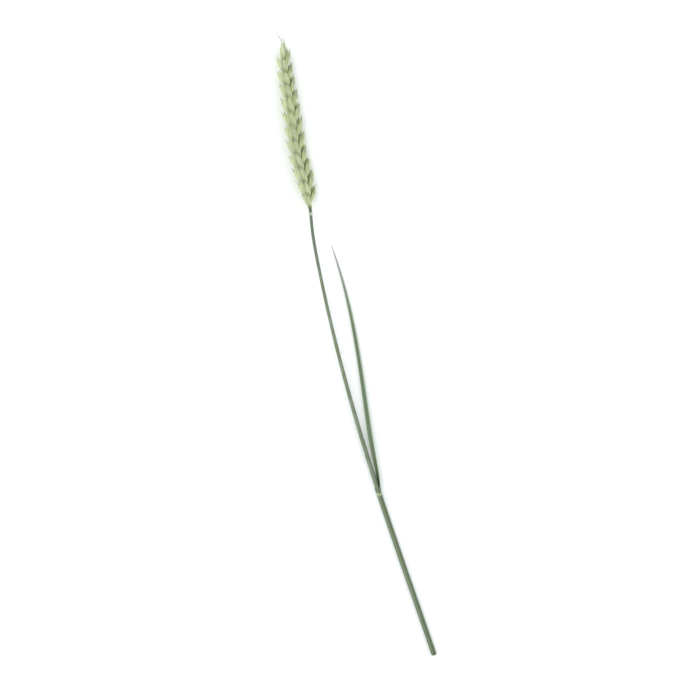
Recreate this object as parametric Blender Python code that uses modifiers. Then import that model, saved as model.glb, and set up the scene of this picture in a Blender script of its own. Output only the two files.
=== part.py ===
"""A green wheat ear on its straw, with the flag leaf, cut and laid on a surface.

The stalk runs along +Y from the cut end to the tip of the ear, +X is to the
right seen from above, +Z is up, and the object rests on z = 0.  It is worked
out in millimetres and written in metres.
"""
import math
import random

import bmesh
import bpy
import numpy as np
from mathutils import Vector

MM = 0.001
NAME = "wheat_ear"
SEED = 17

# The line of the stalk, by its way y along +Y from the cut end.
CHORD = 329.3                   # from the cut end to the tip of the top floret
BOW = (-27.7, -57.7, 48.7)      # sideways bow, by rising powers of y / CHORD
SWAY = (1.7, 1.1)               # the ear's own swing: right at its foot, left at its tip
SWAY_Y = 215.0                  # where the swing starts
MIDDLE = (-4.71, 165.28)        # the middle of the bounds, moved to the origin
Z_CUT = 1.397                   # height of the axis where the sheath lies down
Z_RISE = 3.23                   # what it gains on the way to the ear
RISE_FROM = 80.0                # where the rise starts
RISE_END = 290.0                # and where it is over

# The straw.
R_FOOT = 1.10                   # above the collar
R_HELD = 0.97                   # inside the sheath
R_NECK = 0.80                   # just under the ear
BORE = 0.55                     # the hollow of the straw
BORE_DEPTH = 14.0
RING_Y = 239.7                  # top of the pale ring under the ear
RING_LONG = 1.5
R_RING = 1.10

# The flag leaf: a sheath round the straw, and a blade folded along its keel.
COLLAR_Y = 88.8
BLADE = 132.0
SHEATH_GAP = 0.05
SHEATH_THICK = 0.36
BLADE_THICK = 0.60
SHEATH_HALF = math.radians(171)     # half of the arc that the sheath covers
KEEL = math.radians(60)         # turn of the keel below +X
FOLD_WIDE = 1.00                # half the width over the lips of the fold
FOLD_FLARE = 0.55               # what it has more beside the collar
FOLD_RIGHT = 0.9                # what its outer half has more a little above that
FOLD_DEEP = 1.7
OPENS = 0.035                   # share of the blade in which its margins part
AWAY = (17.4, 14.0, -23.2)       # how far the blade swings from the straw
TOUCH = 0.72                    # height of the keel where the blade lies down
LEAST = 0.61                    # least height of the inner face past the collar

# The ear.
EAR_Y = 240.0                   # foot of its neck, above the ring
NECK_LONG = 3.0
NODES = 22                      # spikelets in the two ranks
STEP = 3.72                     # from one spikelet to the next
CROWDED = 1.1                   # how many steps the crowded foot of the ear saves
ROLL = math.radians(38)         # turn of the near rank to the left of straight up
SIDES = 5                       # of a scale, around it
RINGS = 5                       # and along it
BELLY_LOW = 0.55                # how fast a scale fills out above its foot
BELLY_HIGH = 0.80               # and narrows to its tip


def smooth(t):
    """Ease from 0 to 1."""
    t = min(1.0, max(0.0, t))
    return t * t * (3 - 2 * t)


def mix(a, b, t):
    return a + (b - a) * t


def axis_point(y):
    """Point of the stalk's axis at y."""
    u = y / CHORD
    x = u * (1 - u) * (BOW[0] + BOW[1] * u + BOW[2] * u * u)
    s = (y - SWAY_Y) / (CHORD - SWAY_Y)
    x += SWAY[0] * math.exp(-(((s - 0.29) / 0.13) ** 2)) - SWAY[1] * smooth(s)
    way = min(1.0, max(0.0, (y - RISE_FROM) / (RISE_END - RISE_FROM)))
    z = Z_CUT + Z_RISE * math.sin(0.5 * math.pi * way)
    return Vector((x - MIDDLE[0], y - MIDDLE[1], z))


def axis_along(y):
    """Direction of the axis at y."""
    return (axis_point(y + 0.5) - axis_point(y - 0.5)).normalized()


def square_to(vector, along):
    """The part of a direction that is square to the axis, at unit length."""
    return (vector - along * vector.dot(along)).normalized()


def straw_radius(y):
    """Radius of the straw at y, with the swelling of the ring at its top."""
    r = mix(R_FOOT, R_NECK, smooth((y - COLLAR_Y) / (RING_Y - COLLAR_Y)) ** 0.8)
    r = mix(R_HELD, r, smooth((y - COLLAR_Y + 2.0) / 8.0))
    ring = (y - (RING_Y - 0.5 * RING_LONG)) / (0.5 * RING_LONG)
    if abs(ring) < 1.0:
        r += (R_RING - r) * math.cos(0.5 * math.pi * ring) ** 0.7
    return r


def to_scene(name, mesh, material, collection):
    obj = bpy.data.objects.new(name, mesh)
    collection.objects.link(obj)
    if material is not None:
        mesh.materials.clear()
        mesh.materials.append(material)
    return obj


def material_of(name, colour, roughness):
    """A plain material of the part's main colour, given as sRGB out of 255."""
    mat = bpy.data.materials.new(name)
    mat.use_nodes = True
    shader = mat.node_tree.nodes["Principled BSDF"]
    linear = [((c / 255 + 0.055) / 1.055) ** 2.4 for c in colour]
    shader.inputs["Base Color"].default_value = (*linear, 1.0)
    shader.inputs["Roughness"].default_value = roughness
    shader.inputs["Metallic"].default_value = 0.0
    return mat


def tube(name, points, radii, resolution, material, collection):
    """A closed round body along a line of points, with a radius at each."""
    data = bpy.data.curves.new(name + "_line", "CURVE")
    data.dimensions = "3D"
    data.bevel_depth = MM
    data.bevel_resolution = resolution
    data.use_fill_caps = True
    line = data.splines.new("POLY")
    line.points.add(len(points) - 1)
    for spot, point, radius in zip(line.points, points, radii):
        spot.co = (*(point * MM), 1.0)
        spot.radius = radius
    curve = bpy.data.objects.new(name + "_line", data)
    collection.objects.link(curve)
    bpy.context.view_layer.update()
    evaluated = curve.evaluated_get(bpy.context.evaluated_depsgraph_get())
    mesh = bpy.data.meshes.new_from_object(evaluated)
    mesh.name = name
    mesh.transform(curve.matrix_world)
    bpy.data.objects.remove(curve)
    bm = bmesh.new()
    bm.from_mesh(mesh)
    bmesh.ops.remove_doubles(bm, verts=bm.verts, dist=1e-6)
    bmesh.ops.recalc_face_normals(bm, faces=bm.faces)
    bm.to_mesh(mesh)
    bm.free()
    return to_scene(name, mesh, material, collection)


def apply_all(obj):
    """Replace the object's mesh by what its modifiers make of it."""
    bpy.context.view_layer.update()
    evaluated = obj.evaluated_get(bpy.context.evaluated_depsgraph_get())
    mesh = bpy.data.meshes.new_from_object(evaluated)
    mesh.name = obj.name
    obj.modifiers.clear()
    obj.data = mesh


def make_culm(collection, cutters):
    """The straw, with the ring at its top and the hollow at its cut end."""
    ring = RING_Y - RING_LONG * np.array([1.1, 1.0, 0.8, 0.5, 0.2, 0.0])
    stations = np.concatenate([np.linspace(0.0, COLLAR_Y - 4.0, 11),
                               COLLAR_Y + np.linspace(-2.0, 8.0, 6),
                               np.linspace(COLLAR_Y + 15.0, RING_Y - 4.0, 16), ring])
    mat = material_of("straw_green", (104, 130, 106), 0.5)
    culm = tube("culm", [axis_point(y) for y in stations],
                [straw_radius(y) for y in stations], 4, mat, collection)
    hollow = np.linspace(-1.0, BORE_DEPTH, 4)
    bore = tube("straw_hollow", [axis_point(y) for y in hollow],
                [BORE] * len(hollow), 2, None, cutters)
    cut = culm.modifiers.new("hollow", "BOOLEAN")
    cut.operation = "DIFFERENCE"
    cut.solver = "EXACT"
    cut.object = bore
    apply_all(culm)
    return culm


def fold_size(w):
    """Share of the blade's full width that is left at w of its length."""
    return (1.0 - min(0.995, max(0.0, w)) ** 3.2) ** 0.8


def leaf_point(y, v):
    """Point of the leaf's inner face, at y along it and v from -1 to 1 across."""
    w = (y - COLLAR_Y) / BLADE
    centre = axis_point(y)
    along = axis_along(y)
    keel = square_to(Vector((math.cos(KEEL), 0.0, -math.sin(KEEL))), along)
    side = along.cross(keel)
    inner = straw_radius(y) + SHEATH_GAP
    if w <= 0.0:
        turned = v * SHEATH_HALF
        return centre + (math.cos(turned) * keel + math.sin(turned) * side) * inner
    size = fold_size(w)
    opened = smooth(w / OPENS)
    round_part = (inner * math.sin(v * SHEATH_HALF),
                  inner * (1 - math.cos(v * SHEATH_HALF)))
    flare = FOLD_FLARE * math.exp(-((w / 0.16) ** 2))
    drawn = 1.0
    if v > 0.0:
        drawn -= 0.75 * smooth((w - 0.015) / 0.05) * (1.0 - smooth((w - 0.08) / 0.17))
    else:
        flare += FOLD_RIGHT * smooth(w / 0.10) * math.exp(-((w / 0.35) ** 2))
    fold_part = ((FOLD_WIDE + flare) * size * v * drawn,
                 FOLD_DEEP * size * abs(v) ** 1.4 * drawn)
    across = mix(round_part[0], fold_part[0], opened)
    up = mix(round_part[1], fold_part[1], opened)
    swing = w * (AWAY[0] + w * (AWAY[1] + w * AWAY[2]))
    base = centre + keel * inner + Vector((swing, 0.0, 0.0))
    base.z = mix(base.z, TOUCH, smooth(w / 0.55))
    point = base - keel * up + side * across
    clear = point - centre
    clear -= along * clear.dot(along)
    room = inner + 0.16 * opened
    if clear.length < room:
        point += clear.normalized() * (room - clear.length)
    point.z = max(point.z, LEAST * smooth((w - 0.015) / 0.02))
    return point


def make_flag_leaf(collection):
    """The sheath and the blade, as one sheet given its thickness outward."""
    stations = np.concatenate([
        np.linspace(0.0, COLLAR_Y - 2.5, 11), COLLAR_Y + np.linspace(0.0, 12.0, 13),
        COLLAR_Y + np.linspace(15.0, 21.0, 3),
        COLLAR_Y + np.linspace(26.0, BLADE - 6.0, 13), [COLLAR_Y + BLADE - 2.5,
                                                         COLLAR_Y + BLADE]])
    across = np.linspace(-1.0, 1.0, 13)
    bm = bmesh.new()
    rows = [[bm.verts.new(leaf_point(y, v) * MM) for v in across] for y in stations]
    for low, high in zip(rows, rows[1:]):
        for a, b, c, d in zip(low, low[1:], high[1:], high):
            bm.faces.new((a, b, c, d))
    bmesh.ops.triangulate(bm, faces=bm.faces)
    mesh = bpy.data.meshes.new("flag_leaf")
    bm.to_mesh(mesh)
    bm.free()
    mat = material_of("leaf_green", (96, 122, 98), 0.55)
    leaf = to_scene("flag_leaf", mesh, mat, collection)
    weights = leaf.vertex_groups.new(name="thickness")
    for row, y in enumerate(stations):
        share = mix(SHEATH_THICK / BLADE_THICK, 1.0, smooth((y - COLLAR_Y) / 12.0))
        weights.add(list(range(row * 13, row * 13 + 13)), share, "REPLACE")
    wall = leaf.modifiers.new("thickness", "SOLIDIFY")
    wall.thickness = BLADE_THICK * MM
    wall.offset = 1.0
    wall.use_even_offset = True
    wall.vertex_group = "thickness"
    apply_all(leaf)
    leaf.vertex_groups.clear()
    for vert in leaf.data.vertices:
        vert.co.z = max(vert.co.z, 0.01 * MM)
    return leaf


def make_scale(name, base, along, face, size, beak, collection):
    """One glume or floret: a pointed boat, length, width and depth in size."""
    length, width, depth = size
    across = along.cross(face).normalized()
    bm = bmesh.new()
    bmesh.ops.create_uvsphere(bm, u_segments=SIDES, v_segments=RINGS, radius=1.0)
    peak = 0.41 ** BELLY_LOW * 0.59 ** BELLY_HIGH
    for vert in bm.verts:
        t = 0.5 + 0.5 * vert.co.z
        ring = math.hypot(vert.co.x, vert.co.y)
        turn = math.atan2(vert.co.y, vert.co.x) + 0.5 * math.pi
        belly = t ** BELLY_LOW * (1 - t) ** BELLY_HIGH / peak if ring > 1e-4 else 0.0
        reach = length * t + (beak if t > 0.999 else 0.0)
        point = base + along * reach
        point += across * (0.5 * width * belly * math.cos(turn))
        point += face * (0.5 * depth * belly * math.sin(turn)
                         + 0.05 * length * math.sin(math.pi * min(1.0, t)))
        vert.co = point * MM
    bmesh.ops.recalc_face_normals(bm, faces=bm.faces)
    mesh = bpy.data.meshes.new(name)
    bm.to_mesh(mesh)
    bm.free()
    return to_scene(name, mesh, None, collection)


def spikelet_size(k):
    """Size of the k-th spikelet: small at the foot and again toward the tip."""
    return min(1.0, 0.66 + 0.12 * k) * (1.0 - 0.22 * smooth((k - 13) / 9.0))


def spikelet_y(k):
    """Way of the k-th spikelet along the axis."""
    return EAR_Y + NECK_LONG + STEP * (k - CROWDED * (1.0 - math.exp(-0.5 * k)))


def spikelet_axes(k):
    """Place and directions of the k-th spikelet, the last of them at the tip."""
    y = spikelet_y(k)
    along = axis_along(y)
    near = square_to(Vector((-math.sin(ROLL), 0.0, math.cos(ROLL))), along)
    fan = along.cross(near)
    if k == NODES:
        return axis_point(y), along, fan, near, 0.0
    out = near if k % 2 == 0 else -near
    return axis_point(y) + out * 0.35, along, out, fan, mix(0.33, 0.22, k / NODES)


def make_ear(collection, cutters, grown):
    """The axis of the ear with all its spikelets, as one body with a flat rest."""
    draw = random.Random(SEED)
    stations = np.linspace(EAR_Y, spikelet_y(NODES), 26)
    points = [axis_point(y) for y in stations]
    radii = [mix(0.95 - 0.17 * (k == 0), 0.62, smooth(k / 20.0))
             for k in range(len(stations))]
    mat = material_of("ear_green", (158, 170, 118), 0.6)
    ear = tube("ear", points, radii, 1, mat, collection)
    count = 0
    for k in range(NODES + 1):
        foot, along, out, fan, lean = spikelet_axes(k)
        g = spikelet_size(k)
        axis = (along + out * math.tan(lean)).normalized()
        close = 0.45 if k == NODES else 1.0
        plan = []
        for s in (-1.0, 1.0):
            plan.append(((-0.2, 0.38 * s, 0.0), (0.25 * s, 0.02), (1.0 * s, 0.55),
                         (8.5, 2.9, 2.0), 0.9))
            plan.append(((0.8, 0.42 * s, 0.3), (0.25 * s, 0.07), (1.0 * s, 0.85),
                         (9.8, 2.6, 2.5), 1.7))
            plan.append(((1.7 + 0.5 * s, 0.28 * s, 0.4), (0.10 * s, 0.10), (0.5 * s, 1.0),
                         (8.8, 2.2, 2.4), 1.4))
        for place, spread, facing, size, beak in plan:
            wander = [draw.uniform(-0.03, 0.03) for _ in range(2)]
            longer = draw.uniform(0.95, 1.06)
            base = foot + g * (axis * place[0] + fan * place[1] + out * place[2])
            to = (axis + fan * (spread[0] + wander[0]) * close
                  + out * (spread[1] + wander[1])).normalized()
            face = square_to(fan * facing[0] + out * facing[1], to)
            make_scale("scale_%03d" % count, base, to, face,
                       (size[0] * g * longer, size[1] * g, size[2] * g),
                       beak * draw.uniform(0.7, 1.3), grown)
            count += 1
    fuse = ear.modifiers.new("spikelets", "BOOLEAN")
    fuse.operation = "UNION"
    fuse.solver = "EXACT"
    fuse.operand_type = "COLLECTION"
    fuse.collection = grown
    apply_all(ear)
    for scale in list(grown.objects):
        bpy.data.objects.remove(scale)
    keep_largest(ear.data)
    slab_mesh = bpy.data.meshes.new("surface_below")
    bm = bmesh.new()
    bmesh.ops.create_cube(bm, size=1.0)
    for vert in bm.verts:
        vert.co = (vert.co.x * 0.05, (vert.co.y * 110 + CHORD - 45 - MIDDLE[1]) * MM,
                   (vert.co.z - 0.5) * 0.01)
    bm.to_mesh(slab_mesh)
    bm.free()
    slab = to_scene("surface_below", slab_mesh, None, cutters)
    cut = ear.modifiers.new("rest", "BOOLEAN")
    cut.operation = "DIFFERENCE"
    cut.solver = "EXACT"
    cut.object = slab
    apply_all(ear)
    keep_largest(ear.data)
    ear.data.materials.clear()
    ear.data.materials.append(mat)
    return ear


def keep_largest(mesh):
    """Keep the body itself, without scraps or closed-off hollows inside it."""
    bm = bmesh.new()
    bm.from_mesh(mesh)
    left = set(bm.verts)
    bodies = []
    while left:
        body, edge = set(), [left.pop()]
        while edge:
            vert = edge.pop()
            body.add(vert)
            for link in vert.link_edges:
                other = link.other_vert(vert)
                if other in left:
                    left.discard(other)
                    edge.append(other)
        bodies.append(body)
    bodies.sort(key=len)
    for body in bodies[:-1]:
        bmesh.ops.delete(bm, geom=list(body), context="VERTS")
    bm.to_mesh(mesh)
    bm.free()


def new_collection(name):
    collection = bpy.data.collections.new(name)
    bpy.context.scene.collection.children.link(collection)
    return collection


def main():
    for obj in list(bpy.data.objects):
        bpy.data.objects.remove(obj)
    parts = new_collection(NAME)
    cutters = new_collection("cutters")
    grown = new_collection("spikelet_scales")
    ear = make_ear(parts, cutters, grown)
    culm = make_culm(parts, cutters)
    leaf = make_flag_leaf(parts)
    bpy.data.collections.remove(grown)
    root = bpy.data.objects.new("wheat_ear_root", None)
    parts.objects.link(root)
    for obj in (ear, culm, leaf):
        obj.parent = root
    for obj in cutters.objects:
        obj.hide_render = True
        obj.display_type = "WIRE"


main()
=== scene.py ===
"""A green wheat ear on its straw with the flag leaf, lying on a pale surface.

The stalk runs along +Y from the cut end to the tip of the ear and +Z is up.
Shapes are worked out in millimetres, as whole arrays, and written in metres.
"""
import math
import random

import bpy
import numpy as np
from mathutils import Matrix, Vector


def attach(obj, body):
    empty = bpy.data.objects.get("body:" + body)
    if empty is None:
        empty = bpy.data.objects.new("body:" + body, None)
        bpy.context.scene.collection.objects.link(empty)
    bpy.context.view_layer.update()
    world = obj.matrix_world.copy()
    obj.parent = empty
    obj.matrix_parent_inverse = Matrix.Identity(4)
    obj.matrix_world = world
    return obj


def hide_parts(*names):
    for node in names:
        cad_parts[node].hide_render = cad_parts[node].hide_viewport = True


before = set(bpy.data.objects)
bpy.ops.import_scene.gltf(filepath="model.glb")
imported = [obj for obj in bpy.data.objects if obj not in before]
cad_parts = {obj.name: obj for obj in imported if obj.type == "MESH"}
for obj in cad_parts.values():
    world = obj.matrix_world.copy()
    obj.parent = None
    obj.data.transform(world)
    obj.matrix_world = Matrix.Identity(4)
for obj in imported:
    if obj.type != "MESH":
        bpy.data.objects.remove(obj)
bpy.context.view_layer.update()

MM = 0.001
TAU = 2.0 * math.pi

# Lengths are in millimetres, but in metres for the glow of a scale and the setting.

# The line of the stalk, by its way y from the cut end: a bow over its chord, a
# swing at the ear and a rise off the surface.
CHORD = 329.3
BOW = (-27.7, -57.7, 48.7)
SWAY = (1.7, 1.1)
SWAY_Y = 215.0
MIDDLE = (-4.71, 165.28)
Z_CUT = 1.397
Z_RISE = 3.23
RISE_FROM = 80.0
RISE_END = 290.0

# The straw.
R_FOOT = 1.10
R_HELD = 0.97
R_NECK = 0.80
BORE = 0.55
BORE_DEPTH = 14.0
RING_Y = 239.7
RING_LONG = 1.5
R_RING = 1.10
RIBS = 18
RIB_DEEP = 0.016

# The flag leaf: the sheath up to the collar, then the folded blade.
COLLAR_Y = 88.8
BLADE = 132.0
SHEATH_GAP = 0.05
SHEATH_THICK = 0.33
BLADE_THICK = 0.44
MARGIN_SHARE = 0.10 / 0.42
SHEATH_HALF = math.radians(171)
OVERLAP = math.radians(26)
KEEL = math.radians(60)
FOLD_WIDE = 1.00
FOLD_FLARE = 0.55
FOLD_RIGHT = 0.9
FOLD_DEEP = 1.7
OPENS = 0.035
AWAY = (17.4, 14.0, -23.2)
TOUCH = 0.72
LEAST = 0.61
VEINS = 9
VEIN_HIGH = 0.022
LEAF_COLS = 49

# The ear.
EAR_Y = 240.0
NECK_LONG = 3.0
NODES = 22
STEP = 3.72
CROWDED = 1.1
ROLL = math.radians(38)
SEED = 17
LEAN_LOW = 0.33
LEAN_HIGH = 0.22
OUT_OF_AXIS = 0.35
TIP_CLOSE = 0.45
ZIGZAG = 0.28

# Its scales: long, wide and deep, then how far one strays from the next.
GLUME = (8.5, 2.9, 2.0)
LOW_FLORET = (9.8, 2.6, 2.5)
HIGH_FLORET = (8.8, 2.2, 2.4)
NARROW_FLORET = (8.6, 2.1, 2.0)
OUTER_FLORET = (6.8, 1.7, 1.7)
IN_THE_SOLID = 6
WANDER = 0.03
STRAY_TURN = 0.035
STRAY_LIFT = 0.03
LONGER = (0.95, 1.06)
BEAK_VARY = (0.7, 1.3)
BELLY_LOW = 0.55
BELLY_HIGH = 0.80
FULLEST = 0.41
LEMMA_ROWS = 13
PALEA_ROWS = 12

# Greens of a scale out of 255: belly, flank, foot (yellower, and darker in part as painted
# shade between scales), edge, tip and grey tip.
GLUME_GREENS = ((174, 184, 134), (164, 176, 126), (170, 178, 114),
                (206, 212, 170), (166, 176, 140), (128, 136, 110))
LEMMA_GREENS = ((180, 190, 144), (170, 180, 134), (170, 178, 112),
                (212, 218, 180), (168, 178, 146), (124, 134, 108))
PALEA_GREENS = ((176, 188, 138), (146, 158, 104), (146, 154, 80),
                (218, 224, 188), (196, 204, 166), (160, 164, 138))

# Its awns.
TIP_AWN = (6.0, 12.0)
SIDE_AWN = (0.6, 2.4)
AWN_BEND = (-0.1, 0.35)
AWN_RADIUS = 0.085
AWN_TAPER = 0.062
TIP_LEAN = 0.5
AWNED_SHARE = 0.30

# Light that passes just under the skin of a scale.
GLOW_RADIUS = (0.8, 1.0, 0.4)
GLOW_SCALE = 0.0012

# The setting; its lens and sensor are in millimetres.
FLOOR_HALF = 3.0
FLOOR_WHITE = (0.97, 0.98, 0.98, 1.0)
SKY_WHITE = (0.97, 1.0, 1.0, 1.0)
SKY_STRENGTH = 1.02
LENS = 118.0
SENSOR = 36.0
CAMERA_HIGH = 1.2
IMAGE_LEAN = math.radians(13.8)
RIGHT = Vector((math.cos(IMAGE_LEAN), -math.sin(IMAGE_LEAN), 0.0))
UPWARD = Vector((math.sin(IMAGE_LEAN), math.cos(IMAGE_LEAN), 0.0))


def smooth(t):
    """Ease from 0 to 1: 3 t squared less 2 t cubed, held outside."""
    t = np.clip(t, 0.0, 1.0)
    return t * t * (3.0 - 2.0 * t)


def mix(a, b, t):
    """The value a share t of the way from a to b."""
    return a + (b - a) * t


def unit(v):
    """Vectors scaled to unit length."""
    return v / np.linalg.norm(v, axis=-1, keepdims=True)


def dot(a, b):
    """Dot products, kept as a last axis of one."""
    return np.sum(a * b, axis=-1, keepdims=True)


def axis_point(y):
    """The stalk's axis: a cubic bow sideways, a swing at the ear, a sine rise."""
    y = np.asarray(y, float)
    u = y / CHORD
    s = (y - SWAY_Y) / (CHORD - SWAY_Y)
    x = u * (1.0 - u) * (BOW[0] + BOW[1] * u + BOW[2] * u * u)
    x = x + SWAY[0] * np.exp(-(((s - 0.29) / 0.13) ** 2)) - SWAY[1] * smooth(s)
    way = np.clip((y - RISE_FROM) / (RISE_END - RISE_FROM), 0.0, 1.0)
    z = Z_CUT + Z_RISE * np.sin(0.5 * math.pi * way)
    return np.stack([x - MIDDLE[0], y - MIDDLE[1], z], -1)


def axis_along(y):
    """Direction of the axis, from points half a millimetre to each side."""
    y = np.asarray(y, float)
    return unit(axis_point(y + 0.5) - axis_point(y - 0.5))


def square_to(v, along):
    """The part of a direction that is square to another, at unit length."""
    return unit(v - along * dot(v, along))


def straw_radius(y):
    """Radius of the straw: held thinner in the sheath, tapering above the collar."""
    y = np.asarray(y, float)
    free = mix(R_FOOT, R_NECK, smooth((y - COLLAR_Y) / (RING_Y - COLLAR_Y)) ** 0.8)
    return mix(R_HELD, free, smooth((y - COLLAR_Y + 2.0) / 8.0))


def spokes(y, turn):
    """Directions square to the axis at y, one for each turn round it from +X."""
    along = axis_along(y)
    side = square_to(np.array([1.0, 0.0, 0.0]), along)
    up = np.cross(side, along)
    return side * np.cos(turn)[:, None] + up * np.sin(turn)[:, None]


# Making meshes from grids.

def grid_faces(count, rows, cols):
    """Quads between neighbours in each of count grids, whose columns join round."""
    i, j = np.meshgrid(np.arange(rows - 1), np.arange(cols), indexing="ij")
    k = (j + 1) % cols
    quads = np.stack([i * cols + j, i * cols + k, (i + 1) * cols + k,
                      (i + 1) * cols + j], -1).reshape(-1, 4)
    starts = np.arange(count)[:, None, None] * rows * cols
    corners = np.stack([np.stack([j, i], -1), np.stack([j + 1, i], -1),
                        np.stack([j + 1, i + 1], -1), np.stack([j, i + 1], -1)], -2)
    uv = corners.reshape(-1, 4, 2) / np.array([cols, rows - 1.0])
    return (quads[None] + starts).reshape(-1, 4), np.tile(uv, (count, 1, 1))


def mesh_piece(name, grids, material, node, values):
    """One piece from an array (count, rows, cols, 3) in millimetres.

    Columns join round, lids close the first and last row, the faces are turned
    so that the volume inside comes out positive, and values names one number
    for each point.
    """
    count, rows, cols, _ = grids.shape
    quads, uv = grid_faces(count, rows, cols)
    points = grids.reshape(-1, 3)
    tri_a = points[quads[:, [0, 1, 2]]]
    tri_b = points[quads[:, [0, 2, 3]]]
    tri = np.concatenate([tri_a, tri_b]) - points.mean(0)
    volume = np.einsum("ij,ij->i", tri[:, 0], np.cross(tri[:, 1], tri[:, 2])).sum()
    flip = volume < 0
    faces = (quads[:, ::-1] if flip else quads).tolist()
    corner_uv = (uv[:, ::-1] if flip else uv).reshape(-1, 2)
    rim = np.arange(cols)
    starts = np.arange(count)[:, None] * rows * cols
    lids = np.concatenate([starts + rim[::-1], starts + (rows - 1) * cols + rim])
    faces += (lids[:, ::-1] if flip else lids).tolist()
    lid_uv = np.zeros((lids.size, 2))
    lid_uv[:, 0] = np.tile(rim / cols, len(lids))
    lid_uv[lids.size // 2:, 1] = 1.0
    corner_uv = np.concatenate([corner_uv, lid_uv])
    mesh = bpy.data.meshes.new(name)
    mesh.from_pydata((points * MM).tolist(), [], faces)
    mesh.polygons.foreach_set("use_smooth", np.ones(len(faces), bool))
    layer = mesh.uv_layers.new(name="UVMap")
    layer.data.foreach_set("uv", corner_uv.astype(np.float32).ravel())
    for key, numbers in values.items():
        data = mesh.attributes.new(key, "FLOAT", "POINT").data
        full = np.broadcast_to(numbers, grids.shape[:3])
        data.foreach_set("value", full.astype(np.float32).ravel())
    mesh.validate()
    mesh.update()
    obj = bpy.data.objects.new(name, mesh)
    bpy.context.scene.collection.objects.link(obj)
    mesh.materials.append(material)
    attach(obj, "root")
    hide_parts(node)


def above_floor(points):
    """Points with none below the surface that the stalk lies on."""
    points[..., 2] = np.maximum(points[..., 2], 0.0)
    return points


# Making materials.

def srgb(r, g, b):
    """A colour given out of 255, as the linear values that shaders use."""
    return tuple(c / 255 / 12.92 if c <= 10 else ((c / 255 + 0.055) / 1.055) ** 2.4
                 for c in (r, g, b)) + (1.0,)


class Graph:
    """Short calls for making and joining the nodes of one tree."""

    def __init__(self, tree):
        self.tree = tree

    def node(self, kind, **options):
        """A new node of this kind, with its options set."""
        made = self.tree.nodes.new(kind)
        for key, value in options.items():
            setattr(made, key, value)
        return made

    def put(self, socket, value):
        """Join a socket to an output, or give it a number or colour."""
        if isinstance(value, bpy.types.NodeSocket):
            self.tree.links.new(value, socket)
        else:
            socket.default_value = value

    def math(self, operation, a, b=None):
        """One operation on one or two numbers."""
        made = self.node("ShaderNodeMath", operation=operation)
        self.put(made.inputs[0], a)
        if b is not None:
            self.put(made.inputs[1], b)
        return made.outputs[0]

    def blend(self, share, a, b, kind="MIX"):
        """The colour a share of the way from a to b."""
        made = self.node("ShaderNodeMix", data_type="RGBA", blend_type=kind)
        self.put(made.inputs[0], share)
        self.put(made.inputs[6], a)
        self.put(made.inputs[7], b)
        return made.outputs[2]

    def ramp(self, value, low, high, to_low=0.0, to_high=1.0):
        """A value eased from to_low to to_high as it goes from low to high."""
        made = self.node("ShaderNodeMapRange", interpolation_type="SMOOTHSTEP")
        for index, number in enumerate((value, low, high, to_low, to_high)):
            self.put(made.inputs[index], number)
        return made.outputs[0]

    def noise(self, vector, scale, detail, rough=0.5):
        """Noise from 0 to 1 at a place."""
        made = self.node("ShaderNodeTexNoise")
        for key, value in (("Vector", vector), ("Scale", scale), ("Detail", detail),
                           ("Roughness", rough)):
            self.put(made.inputs[key], value)
        return made.outputs[0]

    def value(self, name):
        """The number that a piece keeps at each point under this name."""
        return self.node("ShaderNodeAttribute", attribute_name=name).outputs["Fac"]

    def group(self, tree, **inputs):
        """The outputs of a node group whose inputs are given by name."""
        made = self.node("ShaderNodeGroup", node_tree=tree)
        for key, value in inputs.items():
            self.put(made.inputs[key], value)
        return made.outputs


def group_tree(name, inputs, outputs):
    """An empty node group with the named sockets, all of them numbers."""
    tree = bpy.data.node_groups.new(name, "ShaderNodeTree")
    for key, default in inputs:
        made = tree.interface.new_socket(key, in_out="INPUT", socket_type="NodeSocketFloat")
        made.default_value = default
    for key in outputs:
        tree.interface.new_socket(key, in_out="OUTPUT", socket_type="NodeSocketFloat")
    graph = Graph(tree)
    return graph, graph.node("NodeGroupInput").outputs, graph.node("NodeGroupOutput").inputs


def fine_lines_group():
    """Nerves that run along a piece: noise stretched along it, the same all round."""
    graph, given, out = group_tree(
        "nerve_lines", (("Around", 0.0), ("Way", 0.0), ("Count", 6.0), ("Drift", 1.0)),
        ("Lines", "Height"))
    turn = graph.math("MULTIPLY", given["Around"], TAU)
    place = graph.node("ShaderNodeCombineXYZ")
    graph.put(place.inputs[0], graph.math(
        "MULTIPLY", graph.math("COSINE", turn), given["Count"]))
    graph.put(place.inputs[1], graph.math(
        "MULTIPLY", graph.math("SINE", turn), given["Count"]))
    graph.put(place.inputs[2], graph.math("MULTIPLY", given["Way"], given["Drift"]))
    lines = graph.noise(place.outputs[0], 1.0, 2.0, 0.6)
    graph.put(out["Lines"], graph.ramp(lines, 0.35, 0.65))
    graph.put(out["Height"], graph.ramp(lines, 0.25, 0.75))
    return graph.tree


def bloom_group():
    """The waxy bloom on green straw and scales: soft patches with a fine grain."""
    graph, given, out = group_tree(
        "waxy_bloom", (("Patch", 900.0), ("Grain", 6000.0), ("Share", 0.5)), ("Bloom",))
    place = graph.node("ShaderNodeTexCoord").outputs["Object"]
    soft = graph.ramp(graph.noise(place, given["Patch"], 3.0), 0.38, 0.66)
    fine = graph.ramp(graph.noise(place, given["Grain"], 2.0), 0.30, 0.70, 0.75, 1.0)
    graph.put(out["Bloom"], graph.math(
        "MULTIPLY", graph.math("MULTIPLY", soft, fine), given["Share"]))
    return graph.tree


LINES = fine_lines_group()
BLOOM = bloom_group()


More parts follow.
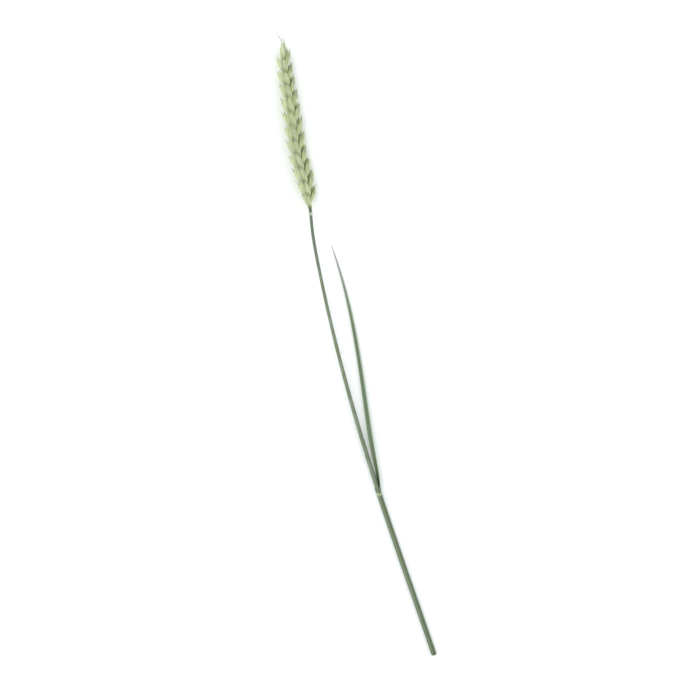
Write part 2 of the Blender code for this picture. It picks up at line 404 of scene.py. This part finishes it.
def new_material(name, roughness, glow=0.0):
    """An opaque material; glow is the share of light that passes just under the skin."""
    mat = bpy.data.materials.new(name)
    mat.use_nodes = True
    graph = Graph(mat.node_tree)
    shader = mat.node_tree.nodes["Principled BSDF"]
    shader.inputs["Roughness"].default_value = roughness
    shader.inputs["Metallic"].default_value = 0.0
    shader.inputs["Subsurface Weight"].default_value = glow
    shader.inputs["Subsurface Radius"].default_value = GLOW_RADIUS
    shader.inputs["Subsurface Scale"].default_value = GLOW_SCALE
    return mat, graph, shader


def bump(graph, shader, height, strength, distance):
    """Low relief: a height from 0 to 1 times a distance in metres."""
    made = graph.node("ShaderNodeBump")
    made.inputs["Strength"].default_value = strength
    made.inputs["Distance"].default_value = distance
    graph.put(made.inputs["Height"], height)
    graph.put(shader.inputs["Normal"], made.outputs[0])


def scale_material(name, greens):
    """Fresh scale of the ear: green belly, pale keel, yellow foot, grey point, with painted
    light and shade.
    """
    belly, flank, foot, edge, tip, grey_tip = (srgb(*green) for green in greens)
    mat, graph, shader = new_material(name, 0.45, 0.6)
    way, rim, ridge = graph.value("way"), graph.value("rim"), graph.value("ridge")
    kind, around, rank = graph.value("kind"), graph.value("around"), graph.value("rank")
    lines = graph.group(LINES, Around=around, Way=graph.math("ADD", way, kind),
                        Count=5.0, Drift=1.4)
    bloom = graph.group(BLOOM, Patch=420.0, Grain=5200.0, Share=0.30)["Bloom"]
    darker = graph.blend(1.0, belly, srgb(212, 220, 190), "MULTIPLY")
    green = graph.blend(kind, belly, darker)
    colour = graph.blend(graph.ramp(rim, 0.04, 0.55), green, flank)
    colour = graph.blend(graph.math("MULTIPLY", lines["Lines"], 0.55), colour,
                         srgb(206, 216, 170))
    # Pale keel line: partly the keel's own colour, partly a painted highlight.
    colour = graph.blend(graph.math("MULTIPLY", ridge, 0.50), colour, srgb(218, 228, 184))
    # Foot of the scale: yellower, and darker in part as painted shade in the gaps between
    # scales.
    colour = graph.blend(graph.ramp(way, 0.36, 0.04), colour, foot)
    colour = graph.blend(graph.ramp(rim, 0.90, 1.0), colour, edge)
    colour = graph.blend(bloom, colour, srgb(200, 212, 190))
    colour = graph.blend(graph.ramp(way, 0.72, 1.0), colour, tip)
    colour = graph.blend(graph.ramp(way, 0.86, 0.99), colour, grey_tip)
    # Painted shade: scales of the far rank are darkened as if in the shade of the near
    # rank.
    far_rank_painted_shade = graph.blend(1.0, colour, srgb(240, 240, 212), "MULTIPLY")
    colour = graph.blend(rank, colour, far_rank_painted_shade)
    # Painted light and shade: a scale with a high pale share is lightened, one with a low
    # share darkened, as if lit from the left.
    painted_shade_tone = graph.blend(1.0, colour, srgb(232, 232, 222), "MULTIPLY")
    painted_light_tone = graph.blend(0.42, colour, srgb(236, 240, 214))
    colour = graph.blend(graph.value("pale"), painted_shade_tone, painted_light_tone)
    graph.put(shader.inputs["Base Color"], colour)
    graph.put(shader.inputs["Roughness"], graph.ramp(bloom, 0.0, 0.3, 0.42, 0.64))
    bump(graph, shader, lines["Height"], 0.35, 0.00006)
    return mat


def straw_material():
    """Grey-green straw: fine pale and dark lines, bloom, a white hollow, painted shade on
    its right side.
    """
    mat, graph, shader = new_material("green_straw", 0.45)
    way, around, inside = graph.value("way"), graph.value("around"), graph.value("inside")
    lines = graph.group(LINES, Around=around, Way=way, Count=5.5, Drift=3.0)
    bloom = graph.group(BLOOM, Patch=160.0, Grain=3800.0, Share=0.55)["Bloom"]
    colour = graph.blend(lines["Lines"], srgb(92, 104, 82), srgb(128, 136, 102))
    colour = graph.blend(bloom, colour, srgb(145, 159, 147))
    colour = graph.blend(graph.ramp(way, 0.80, 0.99), colour, srgb(96, 108, 90))
    colour = graph.blend(graph.ramp(inside, 0.2, 0.8), colour, srgb(206, 210, 172))
    # Painted shade on the right side of the straw, away from the key light.
    painted_side_shade = graph.math("MULTIPLY", graph.value("painted_side_shade"), 0.55)
    colour = graph.blend(painted_side_shade, colour, srgb(72, 84, 56))
    graph.put(shader.inputs["Base Color"], colour)
    graph.put(shader.inputs["Roughness"], graph.ramp(bloom, 0.0, 0.5, 0.30, 0.50))
    bump(graph, shader, lines["Height"], 0.4, 0.00005)
    return mat


def leaf_material():
    """Flag leaf: ribbed grey-green, pale at the margins and in a line at the collar, with
    painted shade on its right side and in the fold.
    """
    mat, graph, shader = new_material("flag_leaf_green", 0.45)
    way, rim, inside = graph.value("way"), graph.value("rim"), graph.value("inside")
    around, vein, collar = graph.value("around"), graph.value("vein"), graph.value("collar")
    lines = graph.group(LINES, Around=around, Way=way, Count=7.0, Drift=4.0)
    bloom = graph.group(BLOOM, Patch=150.0, Grain=3600.0, Share=0.40)["Bloom"]
    sheath = graph.blend(lines["Lines"], srgb(66, 82, 50), srgb(90, 106, 66))
    blade = graph.blend(lines["Lines"], srgb(122, 142, 114), srgb(150, 166, 134))
    colour = graph.blend(graph.ramp(way, 0.40, 0.47), sheath, blade)
    colour = graph.blend(graph.math("MULTIPLY", vein, 0.25), colour, srgb(146, 160, 128))
    bloomed = graph.math("MULTIPLY", bloom, graph.ramp(way, 0.40, 0.47, 0.52, 1.0))
    colour = graph.blend(bloomed, colour, srgb(134, 154, 142))
    # Painted shade on faces turned to the right, away from the key light.
    painted_side_shade = graph.math("MULTIPLY", graph.value("painted_side_shade"), 0.60)
    colour = graph.blend(painted_side_shade, colour, srgb(70, 84, 54))
    # Painted shade on the inner face of the fold near the collar.
    fold_painted_shade = graph.math("MULTIPLY", inside, graph.ramp(way, 0.56, 0.46, 0.0, 0.35))
    colour = graph.blend(fold_painted_shade, colour, srgb(74, 96, 62))
    margin = graph.math("MULTIPLY", graph.ramp(rim, 0.88, 0.98),
                        graph.ramp(way, 0.40, 0.45, 0.35, 1.0))
    colour = graph.blend(margin, colour, srgb(172, 186, 154))
    colour = graph.blend(graph.ramp(way, 0.78, 1.0), colour, srgb(172, 174, 168))
    colour = graph.blend(collar, colour, srgb(178, 192, 148))
    graph.put(shader.inputs["Base Color"], colour)
    graph.put(shader.inputs["Roughness"], graph.ramp(bloom, 0.0, 0.4, 0.34, 0.54))
    bump(graph, shader, lines["Height"], 0.4, 0.00006)
    return mat


def pale_material(name, low, high, roughness):
    """Pale membrane or ring: two close tones in lines along the stalk."""
    mat, graph, shader = new_material(name, roughness)
    lines = graph.group(LINES, Around=graph.value("around"), Way=graph.value("way"),
                        Count=5.0, Drift=2.0)
    bloom = graph.group(BLOOM, Patch=1500.0, Grain=7000.0, Share=0.4)["Bloom"]
    colour = graph.blend(lines["Lines"], low, high)
    colour = graph.blend(bloom, colour, srgb(224, 228, 206))
    graph.put(shader.inputs["Base Color"], colour)
    bump(graph, shader, lines["Height"], 0.3, 0.00004)
    return mat


# Making the ear.

def spikelet_size(k):
    """Size of the k-th spikelet.

    It grows by an even step to full size at the foot of the ear, and eases down
    by about a fifth over the last spikelets.
    """
    return min(1.0, 0.66 + 0.12 * k) * (1.0 - 0.22 * float(smooth((k - 13) / 9.0)))


def spikelet_y(k):
    """Way of the k-th spikelet along the axis.

    The steps are even, less a part that comes in as an exponential of k, so the
    foot of the ear is crowded.
    """
    return EAR_Y + NECK_LONG + STEP * (k - CROWDED * (1.0 - math.exp(-0.5 * k)))


def painted_light_share(k, across, number):
    """Share of painted light on a scale, as if lit from the left: most on the left of the
    near rank, least on its right; a low share gets painted shade.
    """
    if k == NODES:
        return 0.6
    if k % 2 == 0:
        return {8: 1.0, 5: 0.5, 7: 0.5}.get(number, 1.0 if across < 0.0 else 0.2)
    return 0.6 if number in (2, 5, 7, 8) else 0.45


def plan_scales():
    """Foot, direction, face and sizes of each glume and floret, in growing order.

    Each row gives the kind, then the place of the foot (along, across, out), the
    spread of the point (across, out), the way the back faces (across, out), the
    size and the length of the beak. The first six are those of the solid.
    """
    draw = random.Random(SEED)
    between = random.Random(SEED + 1)
    stray = random.Random(SEED + 2)
    plan = []
    for k in range(NODES + 1):
        y = spikelet_y(k)
        along = axis_along(y)
        near = square_to(np.array([-math.sin(ROLL), 0.0, math.cos(ROLL)]), along)
        fan = np.cross(along, near)
        if k == NODES:
            foot, out, fan, lean = axis_point(y), fan, near, 0.0
        else:
            out = near if k % 2 == 0 else -near
            foot = axis_point(y) + out * OUT_OF_AXIS
            lean = mix(LEAN_LOW, LEAN_HIGH, k / NODES)
        g = spikelet_size(k)
        axis = unit(along + out * math.tan(lean))
        close = TIP_CLOSE if k == NODES else 1.0
        rows = []
        for s in (-1.0, 1.0):
            glume_keel, lemma_keel = (s, 0.55), (s, 0.85)
            if k % 2 == 0 and s < 0.0 and k < NODES:
                glume_keel, lemma_keel = (-0.45, 0.8), (-0.3, 1.0)
            elif k % 2 == 1 and s > 0.0:
                glume_keel, lemma_keel = (1.0, -0.1), (1.0, 0.0)
            rows.append(("glume", (-0.2, 0.38 * s, 0.0), (0.25 * s, 0.02), glume_keel,
                         GLUME, 0.9))
            rows.append(("lemma", (0.8, 0.42 * s, 0.3), (0.25 * s, 0.07), lemma_keel,
                         LOW_FLORET, 1.7))
            rows.append(("lemma", (1.7 + 0.5 * s, 0.28 * s, 0.4), (0.10 * s, 0.10),
                         (0.5 * s, 1.0), HIGH_FLORET, 1.4))
        for s in (-1.0, 1.0):
            rows.append(("lemma", (1.3, 0.40 * s, 0.25), (0.175 * s, 0.05),
                         (0.9 * s, 0.7), NARROW_FLORET, 1.0))
        if k < NODES:
            rows.append(("lemma", (2.2, 0.15, 0.75), (0.05, 0.15), (0.2, 1.0),
                         NARROW_FLORET, 1.2))
            for s in (-1.0, 1.0):
                rows.append(("lemma", (2.6, 0.9 * s, 0.35), (0.36 * s, 0.03),
                             (s, 0.35), OUTER_FLORET, 0.9))
        for number, (kind, place, spread, facing, size, beak) in enumerate(rows):
            die = draw if number < IN_THE_SOLID else between
            wander = [die.uniform(-WANDER, WANDER) for _ in range(2)]
            longer = die.uniform(*LONGER)
            base = foot + g * (axis * place[0] + fan * place[1] + out * place[2])
            turn = stray.uniform(-STRAY_TURN, STRAY_TURN)
            lift = stray.uniform(-STRAY_LIFT, STRAY_LIFT)
            to = unit(axis + fan * (spread[0] + wander[0] + turn) * close
                      + out * (spread[1] + wander[1] + lift))
            face = square_to(fan * facing[0] + out * facing[1], to)
            plan.append({"kind": kind, "k": k, "base": base, "to": to, "face": face,
                         "long": size[0] * g * longer, "wide": size[1] * g,
                         "deep": size[2] * g, "beak": beak * die.uniform(*BEAK_VARY),
                         "side": facing[0] if facing[0] else 1.0,
                         "pale": painted_light_share(k, place[1], number)})
    return plan


def scale_grids(plan, keel, nerves, nerve_high, keel_at, rows=26):
    """Pointed boats, all at once, one for each entry of the plan.

    Along the scale t the half width is t to a power times 1 - t to a power, as
    the florets fill out low and narrow to the point, which runs on as a thin
    beak.  Round it the outer face is half an ellipse with a keel and nerves
    raised on it by cosines, and the inner face is a flatter half ellipse.
    """
    def column(key):
        return np.array([entry[key] for entry in plan], float)

    turn = np.concatenate([np.linspace(0.0, math.pi, 21),
                           np.linspace(math.pi, TAU, 9)[1:-1]])
    body = 0.5 - 0.5 * np.cos(np.linspace(0.0, math.pi, rows))
    body[0] = 0.004
    beak = np.array([0.25, 0.5, 0.75, 1.0])
    peak = FULLEST ** BELLY_LOW * (1.0 - FULLEST) ** BELLY_HIGH
    t = np.concatenate([body, np.ones(4)])
    past = np.concatenate([np.zeros(rows), beak])
    belly = t ** BELLY_LOW * np.clip(1.0 - t, 0.0, 1.0) ** BELLY_HIGH / peak
    point = 0.13 * smooth((t - 0.6) / 0.4) * (1.0 - 0.82 * past)
    base, to, face = column("base"), column("to"), column("face")
    across = np.cross(to, face) * column("side")[:, None]
    long, wide, deep = column("long"), column("wide"), column("deep")
    cos, sin = np.cos(turn), np.sin(turn)
    outer = np.clip(sin, 0.0, 1.0)
    ridge = np.exp(-(((turn - keel_at) / 0.20) ** 2)) * keel
    ridge = ridge + nerve_high * np.cos(nerves * turn) * outer ** 0.5
    lift = np.where(sin > 0.0, np.abs(sin) ** 0.92, sin * 0.72)
    shape = belly[:, None]
    fade = np.sin(math.pi * np.clip(t, 0.0, 1.0))[:, None] ** 0.6
    wide_part = 0.5 * wide[:, None, None] * (shape * cos)[None]
    deep_part = 0.5 * deep[:, None, None] * (shape * lift)[None]
    deep_part = deep_part + (ridge * fade)[None]
    wide_part = wide_part + (point[:, None] * cos)[None]
    deep_part = deep_part + (point[:, None] * sin)[None]
    bend = 0.05 * long[:, None] * np.sin(math.pi * t)[None]
    reach = long[:, None] * t[None] + column("beak")[:, None] * past[None]
    flick = column("beak")[:, None] * 0.10 * past[None] ** 2
    grid = (base[:, None, None] + to[:, None, None] * reach[..., None, None]
            + across[:, None, None] * wide_part[..., None]
            + face[:, None, None] * (deep_part + bend[..., None]
                                     + flick[..., None])[..., None])
    draw = np.random.default_rng(SEED)
    values = {
        "way": (t + 0.15 * past)[None, :, None],
        "around": (turn / TAU)[None, None],
        "rim": (np.abs(cos) ** 3 * (sin > -0.3))[None, None],
        # ridge also masks the keel line, which is partly a painted highlight.
        "ridge": (np.exp(-(((turn - keel_at) / 0.24) ** 2))[None] * fade)[None],
        # rank also carries the painted shade of the far rank.
        "rank": (column("k") % 2)[:, None, None],
        # pale carries the share of painted light and shade by side.
        "pale": column("pale")[:, None, None],
        "kind": draw.uniform(0.0, 1.0, len(plan))[:, None, None],
    }
    return above_floor(grid), values


def tube_grid(points, radii, around):
    """Round tubes carried along paths: (count, rows, 3) and (count, rows)."""
    along = unit(np.gradient(points, axis=-2))
    up = np.broadcast_to(np.array([0.13, 0.21, 0.97]), points.shape)
    side = unit(np.cross(along, up))
    up = np.cross(side, along)
    turn = np.linspace(0.0, TAU, around, endpoint=False)
    return (points[..., None, :] + radii[..., None, None] * (
        side[..., None, :] * np.cos(turn)[:, None]
        + up[..., None, :] * np.sin(turn)[:, None]))


def make_ear():
    """Rachis, glumes, lemmas, paleas and awns."""
    plan = plan_scales()
    glumes = [p for p in plan if p["kind"] == "glume"]
    lemmas = [p for p in plan if p["kind"] == "lemma"]
    glume_mat = scale_material("glume_green", GLUME_GREENS)
    lemma_mat = scale_material("lemma_green", LEMMA_GREENS)
    grid, values = scale_grids(glumes, 0.16, 9.0, 0.020, 1.15)
    mesh_piece("glumes", grid, glume_mat, "ear", values)
    grid, values = scale_grids(lemmas, 0.07, 11.0, 0.016, 1.57, rows=LEMMA_ROWS)
    mesh_piece("lemmas", grid, lemma_mat, "ear", values)
    make_paleas(lemmas)
    make_rachis()
    make_awns(lemmas)


def make_paleas(lemmas):
    """Paleas: each lemma again, narrower, shorter, sunk in it and facing back."""
    inner = []
    for entry in lemmas:
        child = dict(entry)
        child["base"] = entry["base"] - entry["face"] * entry["deep"] * 0.22
        child["to"] = unit(entry["to"] - entry["face"] * 0.05)
        child["face"] = -square_to(entry["face"], child["to"])
        child["long"] = entry["long"] * 0.88
        child["wide"] = entry["wide"] * 0.62
        child["deep"] = entry["deep"] * 0.42
        child["beak"] = 0.25
        inner.append(child)
    mat = scale_material("palea_green", PALEA_GREENS)
    grid, values = scale_grids(inner, 0.05, 2.0, 0.03, 1.57, rows=PALEA_ROWS)
    mesh_piece("paleas", grid, mat, "ear", values)


def make_rachis():
    """The ear's axis: a stem that starts inside the ring and thins toward the tip.

    It zigzags in straight lines from node to node and swells at each by a bell
    curve.
    """
    y = np.linspace(RING_Y - 0.5, spikelet_y(NODES) + 1.0, 190)
    nodes = np.array([spikelet_y(k) for k in range(NODES + 1)])
    near = np.abs(y[:, None] - nodes[None]).argmin(1)
    gap = (y - nodes[near]) / STEP
    along = axis_along(y)
    out = square_to(np.array([-math.sin(ROLL), 0.0, math.cos(ROLL)])[None], along)
    zig = np.interp(y, nodes, ZIGZAG * np.where(np.arange(NODES + 1) % 2 == 0, 1, -1))
    zig = zig * smooth((y - EAR_Y - 1.0) / 3.0)
    points = axis_point(y) + out * zig[:, None]
    r = mix(R_NECK, 0.90, smooth((y - EAR_Y) / NECK_LONG))
    r = mix(r, 0.62, smooth((y - EAR_Y - NECK_LONG) / 60.0))
    r = r + 0.14 * np.exp(-((gap / 0.12) ** 2)) * (y > EAR_Y + 2.4)
    grid = above_floor(tube_grid(points[None], r[None], 28))
    mat, graph, shader = new_material("rachis_green", 0.5)
    way = graph.value("way")
    lines = graph.group(LINES, Around=graph.value("around"), Way=way, Count=5.0,
                        Drift=8.0)
    bloom = graph.group(BLOOM, Patch=500.0, Grain=5000.0, Share=0.35)["Bloom"]
    colour = graph.blend(lines["Lines"], srgb(116, 130, 72), srgb(150, 162, 98))
    colour = graph.blend(graph.ramp(way, 0.060, 0.028), colour, srgb(74, 88, 66))
    colour = graph.blend(bloom, colour, srgb(150, 166, 140))
    graph.put(shader.inputs["Base Color"], colour)
    bump(graph, shader, lines["Height"], 0.4, 0.00006)
    mesh_piece("rachis", grid, mat, "ear", {
        "way": np.linspace(0.0, 1.0, len(y))[None, :, None],
        "around": np.linspace(0.0, 1.0, 28, endpoint=False)[None, None]})


def make_awns(lemmas):
    """Thin awns on the top florets: they run on from the beak and bend outward.

    A point at the share s of an awn's length adds the bend times s squared, and
    on the tip spikelet a lean to the left times s to the power of 1.5.
    """
    draw = random.Random(SEED + 4)
    top = [p for p in lemmas if p["k"] >= NODES - 3]
    some = [p for p in lemmas if p["k"] < NODES - 3 and draw.random() < AWNED_SHARE]
    starts, lengths, bends = [], [], []
    for entry in top + some:
        last = entry["k"] == NODES
        starts.append(entry)
        lengths.append(draw.uniform(*(TIP_AWN if last else SIDE_AWN)))
        bends.append(draw.uniform(*AWN_BEND))
    s = np.linspace(0.0, 1.0, 12)
    base = np.array([p["base"] + p["to"] * (p["long"] + 0.2) for p in starts])
    to = np.array([p["to"] for p in starts])
    face = np.array([p["face"] for p in starts])
    long = np.array(lengths)[:, None, None]
    lean = np.array([[-TIP_LEAN if p["k"] == NODES else 0.0, 0.0, 0.0] for p in starts])
    points = (base[:, None] + to[:, None] * long * s[None, :, None]
              + lean[:, None] * long * s[None, :, None] ** 1.5
              + face[:, None] * long * np.array(bends)[:, None, None]
              * s[None, :, None] ** 2)
    radii = np.broadcast_to((AWN_RADIUS - AWN_TAPER * s)[None], points.shape[:2])
    grid = above_floor(tube_grid(points, radii, 6))
    mat, graph, shader = new_material("awn_grey", 0.5)
    colour = graph.blend(graph.value("way"), srgb(126, 132, 108), srgb(170, 172, 160))
    colour = graph.blend(graph.group(BLOOM, Patch=2500.0, Share=0.4)["Bloom"], colour,
                         srgb(190, 192, 178))
    graph.put(shader.inputs["Base Color"], colour)
    mesh_piece("awns", grid, mat, "ear", {"way": s[None, :, None]})


# Making the straw.

def make_straw():
    """The straw, its rim and its hollow, as one profile of radius along the axis.

    The outside is ribbed by a cosine round it; the inside runs up to the end of
    the hollow and closes there.
    """
    ribbed = np.concatenate([np.linspace(RING_Y - 0.1, COLLAR_Y + 20, 150),
                             np.linspace(COLLAR_Y + 19, 1.0, 60), [0.5, 0.2, 0.05]])
    y = np.concatenate([ribbed, [0.0, 0.0, 0.05, 0.4], np.linspace(1.5, BORE_DEPTH, 12)])
    r = straw_radius(ribbed)
    r = r - np.array([0.0] * (len(ribbed) - 3) + [0.005, 0.02, 0.05])
    r = np.concatenate([r, [R_HELD - 0.10, BORE + 0.08, BORE + 0.02, BORE]])
    r = np.concatenate([r, np.full(12, BORE)])
    inside = np.concatenate([np.zeros(len(ribbed)), [0.4],
                             np.ones(len(y) - len(ribbed) - 1)])
    turn = np.linspace(0.0, TAU, RIBS * 4, endpoint=False)
    rib = RIB_DEEP * np.cos(RIBS * turn)[None] * (1.0 - inside)[:, None]
    rib = rib * smooth((RING_Y - 2.0 - y) / 20.0)[:, None]
    radius = (r[:, None] + rib)[..., None]
    grid = axis_point(y)[:, None] + radius * spokes(y[:, None], turn)
    mesh_piece("straw", above_floor(grid[None]), straw_material(), "culm", {
        "way": (y / RING_Y)[None, :, None], "inside": inside[None, :, None],
        "around": (turn / TAU)[None, None],
        # The last value sets where the straw gets painted shade: its right side.
        "painted_side_shade": smooth(0.25 + 0.75 * np.cos(turn))[None, None]})


def make_ring():
    """The pale ring under the ear: a band that swells as a sine to the 0.6.

    Two sines round it make its swell slightly uneven.
    """
    s = np.linspace(0.0, 1.0, 15)
    turn = np.linspace(0.0, TAU, 48, endpoint=False)
    uneven = 0.05 * np.sin(3.0 * turn + 0.7) + 0.03 * np.sin(7.0 * turn)
    y = RING_Y - RING_LONG * (1.0 - s)
    swell = np.sin(math.pi * s) ** 0.6
    radius = (R_NECK - 0.02 + (R_RING - R_NECK + 0.02) * swell)[:, None] * (
        1.0 + 0.35 * uneven[None] * swell[:, None])
    grid = axis_point(y)[:, None] + radius[..., None] * spokes(y[:, None], turn)
    mat = pale_material("ring_pale", srgb(144, 156, 136), srgb(184, 194, 176), 0.5)
    mesh_piece("neck_ring", above_floor(grid[None]), mat, "culm", {
        "way": s[None, :, None], "around": (turn / TAU)[None, None]})


# Making the flag leaf.

def blade_size(w):
    """Size of the blade at its share w: full at the collar, narrowing to the tip."""
    return (1.0 - np.clip(w, 0.0, 0.995) ** 3.2) ** 0.8


def leaf_sheet(y, v):
    """Inner face of the leaf at y along the stalk and v from -1 to 1 across.

    In the sheath it is an arc round the straw.  Past the collar the arc opens
    at once into a fold whose height goes as v to the 1.4, narrower for a while
    on the half that passes under the straw, while the keel swings away from the
    straw by a cubic and comes down to the surface.
    """
    w = (y - COLLAR_Y) / BLADE
    along = axis_along(y)
    centre = axis_point(y)
    keel = square_to(np.array([[math.cos(KEEL), 0.0, -math.sin(KEEL)]]), along)
    side = np.cross(along, keel)
    inner = (straw_radius(y) + SHEATH_GAP)[:, None]
    size = blade_size(w)[:, None]
    opened = smooth(w / OPENS)[:, None]
    closed = smooth((COLLAR_Y - 4.0 - y) / 16.0)[:, None]
    lap = smooth((v - 0.74) / 0.26)[None] * closed
    angle = v[None] * SHEATH_HALF + lap * OVERLAP
    radius = inner + 0.20 * smooth((v - 0.86) / 0.10)[None] * closed
    flare = FOLD_FLARE * np.exp(-((w / 0.16) ** 2))[:, None]
    outer_half = FOLD_RIGHT * smooth(w / 0.10) * np.exp(-((w / 0.35) ** 2))
    flare = flare + outer_half[:, None] * (v[None] < 0.0)
    under = smooth((w - 0.015) / 0.05) * (1.0 - smooth((w - 0.08) / 0.17))
    drawn = 1.0 - 0.75 * under[:, None] * (v[None] > 0.0)
    fold_across = (FOLD_WIDE + flare) * size * v[None] * drawn
    fold_up = FOLD_DEEP * size * np.abs(v[None]) ** 1.4 * drawn
    across = mix(radius * np.sin(angle), fold_across, opened)
    up = mix(inner - radius * np.cos(angle), fold_up, opened)
    swing = np.where(w > 0.0, w * (AWAY[0] + w * (AWAY[1] + w * AWAY[2])), 0.0)
    base = centre + keel * inner
    base[:, 0] += swing
    base[:, 2] = mix(base[:, 2], TOUCH, smooth(w / 0.55))
    point = (base[:, None] - keel[:, None] * up[..., None]
             + side[:, None] * across[..., None])
    clear = point - centre[:, None]
    clear = clear - along[:, None] * dot(clear, along[:, None])
    far = np.linalg.norm(clear, axis=-1, keepdims=True)
    room = (inner + 0.16 * opened)[..., None]
    point = point + clear / np.maximum(far, 1e-6) * np.maximum(room - far, 0.0)
    least = LEAST * smooth((w - 0.015) / 0.02)[:, None]
    point[..., 2] = np.maximum(point[..., 2], least)
    return point


def make_leaf():
    """Sheath and blade with their thickness, ribbed by veins.

    The thickness falls toward the margins as v to the fifth. The veins are a
    cosine across, the midrib and the line at the collar are bell curves.
    """
    y = np.concatenate([np.linspace(0.3, COLLAR_Y - 4.0, 50),
                        np.linspace(COLLAR_Y - 3.5, COLLAR_Y + 24.0, 56),
                        np.linspace(COLLAR_Y + 25.0, COLLAR_Y + BLADE, 80)])
    v = np.sin(np.linspace(-0.5 * math.pi, 0.5 * math.pi, LEAF_COLS))
    v = mix(v, np.linspace(-1.0, 1.0, LEAF_COLS), 0.6)
    sheet = leaf_sheet(y, v)
    down = np.gradient(sheet, axis=0)
    over = np.gradient(sheet, axis=1)
    normal = unit(np.cross(over, down))
    centre = sheet.mean(1, keepdims=True)
    if np.mean(dot(normal[:60], (sheet - centre)[:60])) < 0.0:
        normal = -normal
    w = (y - COLLAR_Y) / BLADE
    size = blade_size(w)
    full = mix(SHEATH_THICK, BLADE_THICK, smooth(w * 10.0)) * mix(0.4, 1.0, size)
    edge = 1.0 - (1.0 - MARGIN_SHARE) * np.abs(v) ** 5
    thick = full[:, None] * edge[None]
    veins = 0.5 + 0.5 * np.cos(TAU * VEINS * v)
    relief = VEIN_HIGH * veins[None] * size[:, None]
    relief = relief + 0.10 * np.exp(-((v / 0.07) ** 2))[None] * (
        smooth(w * 14.0) * size)[:, None]
    front = np.clip((sheet - axis_point(y)[:, None])[..., 2]
                    / (straw_radius(y) + SHEATH_GAP)[:, None], 0.0, 1.0)
    line = COLLAR_Y + 0.2 - 0.9 * front ** 2
    collar = np.exp(-(((y[:, None] - line) / 0.45) ** 2))
    relief = relief + 0.07 * collar
    # Share of painted shade: faces turned to the right, less of it along the blade.
    painted_side_shade = smooth(0.5 + 0.6 * normal[..., 0]) * (1.0 - 0.6 * smooth(w * 8.0))[:, None]
    outer = sheet + normal * (thick + relief)[..., None]
    inner = sheet + normal * (VEIN_HIGH * veins[None] * size[:, None])[..., None] * 0.5
    loop = np.concatenate([outer, inner[:, ::-1]], 1)
    both = np.concatenate([v, v[::-1]])
    values = {
        "way": (y / (COLLAR_Y + BLADE))[None, :, None],
        "around": (0.25 + 0.2 * both)[None, None],
        "rim": np.abs(both)[None, None],
        "vein": np.concatenate([veins, veins])[None, None],
        "inside": np.repeat([0.0, 1.0], LEAF_COLS)[None, None],
        "collar": np.concatenate([collar, collar[:, ::-1]], 1)[None],
        "painted_side_shade": np.concatenate([painted_side_shade, painted_side_shade[:, ::-1]], 1)[None],
    }
    mesh_piece("flag_leaf_green", above_floor(loop[None]), leaf_material(),
               "flag_leaf", values)


def make_ligule():
    """The ligule: a thin membrane that stands round the straw at the collar.

    Two sines round it make its edge ragged, and it is taller on the left by a
    squared cosine.
    """
    turn = np.linspace(0.0, TAU, 73)[:-1]
    s = np.linspace(0.0, 1.0, 8)
    ragged = 1.0 + 0.18 * np.sin(5.0 * turn) + 0.12 * np.sin(11.0 * turn + 1.0)
    tall = 1.3 + 0.9 * np.clip(-np.cos(turn), 0.0, 1.0) ** 2
    y = COLLAR_Y - 0.7 + s[:, None] * (ragged * tall)[None]
    radius = (straw_radius(y) + 0.035 + 0.03 * s[:, None])[..., None]
    wall = radius * spokes(y, turn)
    outer = axis_point(y) + wall * 1.035
    inner = axis_point(y) + wall
    grid = np.concatenate([outer, inner[::-1]], 0)
    way = np.concatenate([s, s[::-1]])
    mat = pale_material("ligule_pale", srgb(196, 200, 160), srgb(226, 228, 200), 0.6)
    mesh_piece("ligule", grid[None], mat, "flag_leaf", {
        "way": way[None, :, None], "around": (turn / TAU)[None, None]})


# Making the setting.

def soft_light(name, place, size, power, colour):
    """A soft square lamp aimed at the middle of the stalk."""
    data = bpy.data.lights.new(name, "AREA")
    data.size = size
    data.energy = power
    data.color = colour
    lamp = bpy.data.objects.new(name, data)
    bpy.context.scene.collection.objects.link(lamp)
    lamp.location = RIGHT * place[0] + UPWARD * place[1] + Vector((0.0, 0.0, place[2]))
    lamp.rotation_euler = (-lamp.location).to_track_quat("-Z", "Y").to_euler()


def make_setting():
    """Pale floor, soft light from the upper left and less from the right, a camera
    straight above that leans in its picture as the stalk does.
    """
    mesh = bpy.data.meshes.new("pale_floor")
    mesh.from_pydata([(-FLOOR_HALF, -FLOOR_HALF, 0.0), (FLOOR_HALF, -FLOOR_HALF, 0.0),
                      (FLOOR_HALF, FLOOR_HALF, 0.0), (-FLOOR_HALF, FLOOR_HALF, 0.0)],
                     [], [(0, 1, 2, 3)])
    floor = bpy.data.objects.new("pale_floor", mesh)
    bpy.context.scene.collection.objects.link(floor)
    mat, _, shader = new_material("pale_surface", 0.9)
    shader.inputs["Base Color"].default_value = FLOOR_WHITE
    mesh.materials.append(mat)

    world = bpy.data.worlds.new("studio")
    world.use_nodes = True
    sky = world.node_tree.nodes["Background"]
    sky.inputs["Color"].default_value = SKY_WHITE
    sky.inputs["Strength"].default_value = SKY_STRENGTH
    bpy.context.scene.world = world
    soft_light("key_softbox", (-0.75, 0.40, 0.90), 1.4, 4.0, (1.0, 0.99, 0.96))
    soft_light("fill_softbox", (0.9, -0.1, 0.6), 1.2, 2.6, (0.95, 0.98, 1.0))

    data = bpy.data.cameras.new("camera")
    camera = bpy.data.objects.new("camera", data)
    bpy.context.scene.collection.objects.link(camera)
    data.lens = LENS
    data.sensor_width = SENSOR
    data.clip_start = 0.05
    camera.location = (0.0, 0.0, CAMERA_HIGH)
    camera.rotation_euler = (0.0, 0.0, -IMAGE_LEAN)
    bpy.context.scene.camera = camera
    bpy.context.scene.view_settings.view_transform = "Standard"


make_ear()
make_straw()
make_ring()
make_leaf()
make_ligule()
make_setting()
